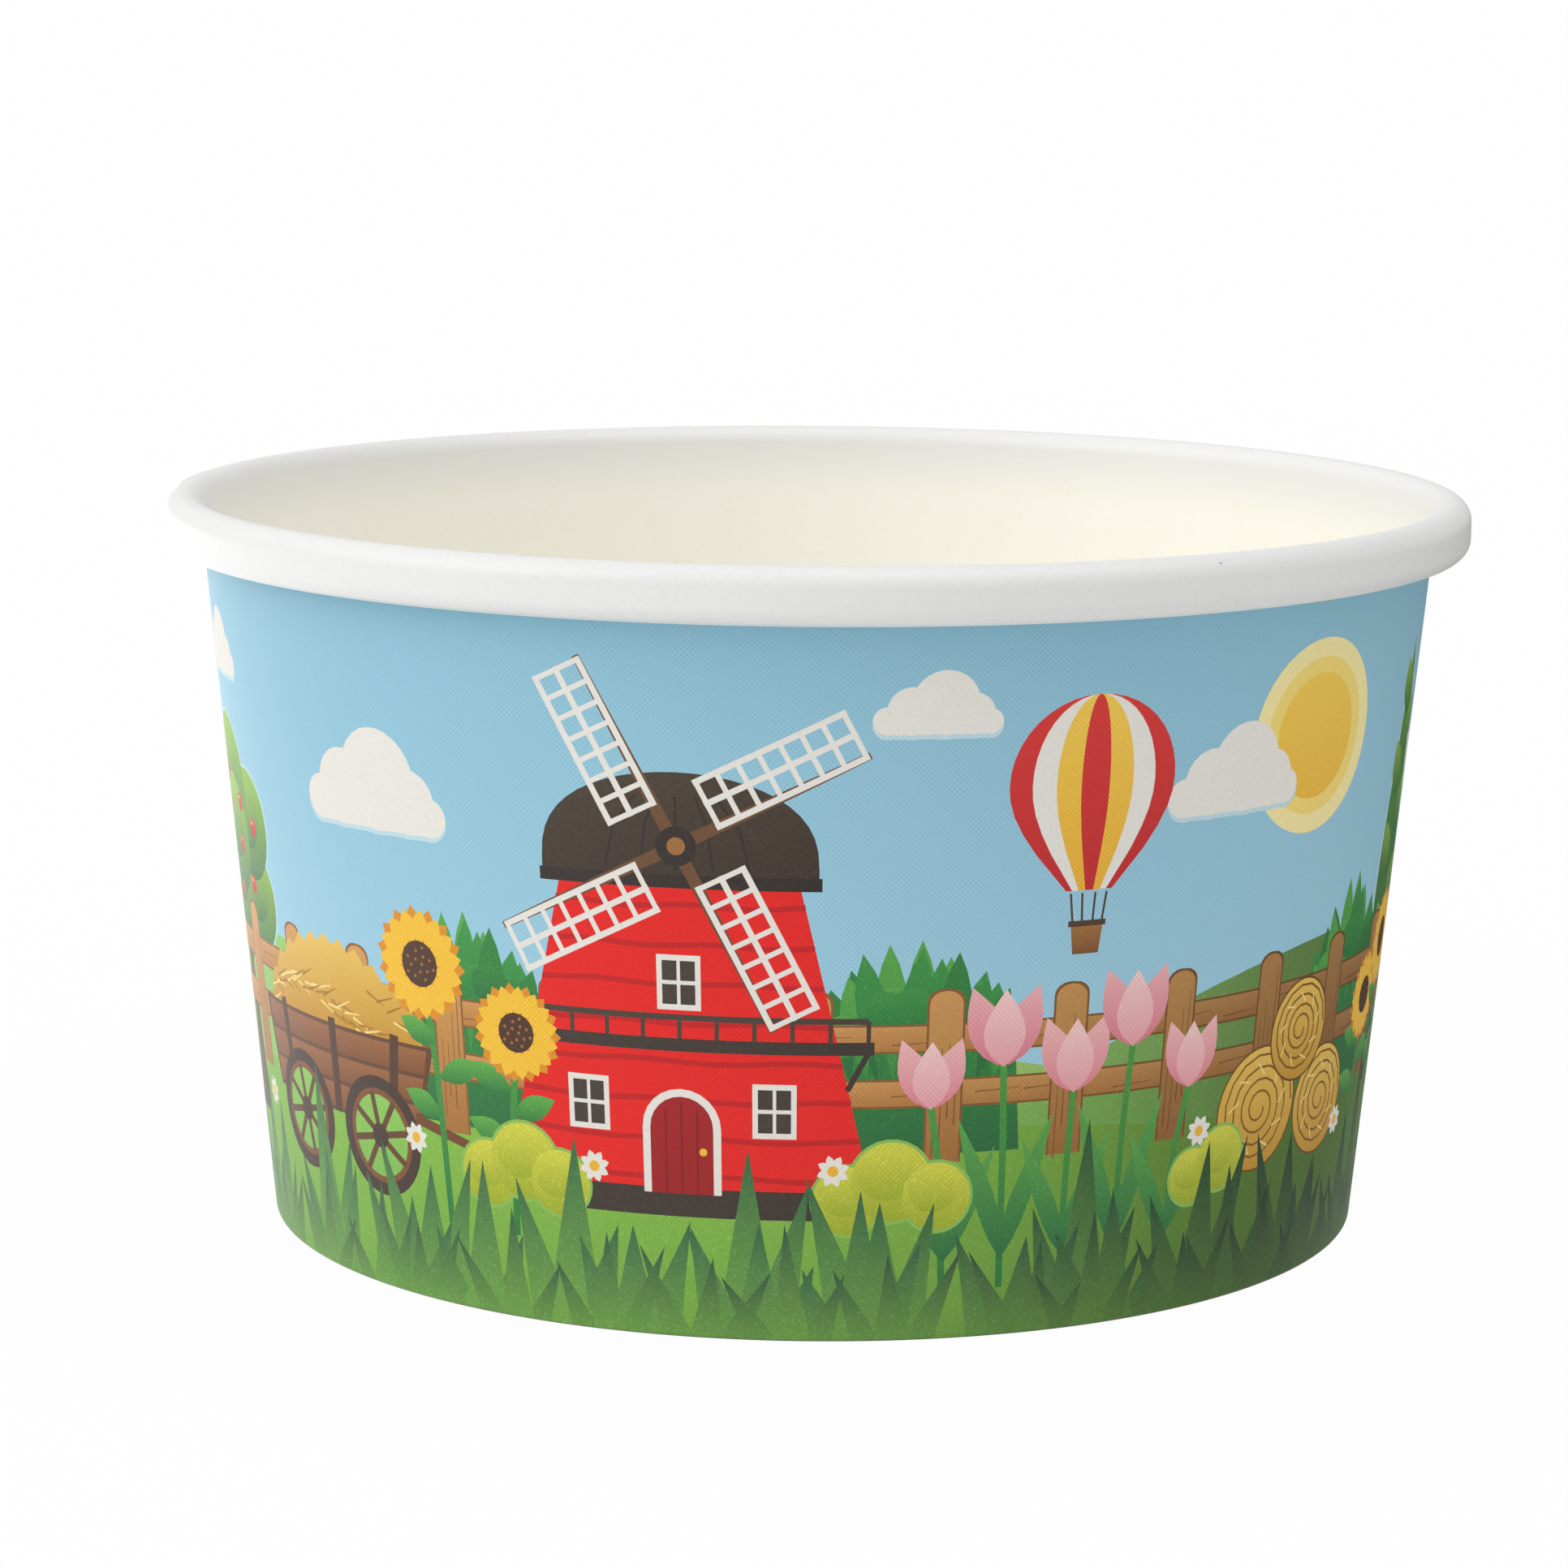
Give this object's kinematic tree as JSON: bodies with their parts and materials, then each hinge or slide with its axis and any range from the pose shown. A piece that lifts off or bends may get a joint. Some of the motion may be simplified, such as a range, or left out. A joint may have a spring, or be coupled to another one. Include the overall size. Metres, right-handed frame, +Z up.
{
  "type": "paper dessert cup",
  "caption": "Wide, shallow round paper cup with a rolled rim, a lapped side seam, a recessed base and a printed countryside scene round its tapered wall.",
  "frame": {"origin": "centre of the circle that the cup stands on", "axes": "+Z up along the cup's axis; -Y towards the front of the print"},
  "size_m": [0.0951, 0.0952, 0.0532],
  "materials": {
    "cup_wall": "matt printed board, uncoated feel outside and a film of polyethylene inside",
    "cup_base": "plain cream board, film coated on its upper side"
  },
  "bodies": {
    "root": {"cup_wall": "cup_wall", "cup_base": "cup_base"}
  },
  "joints": []
}
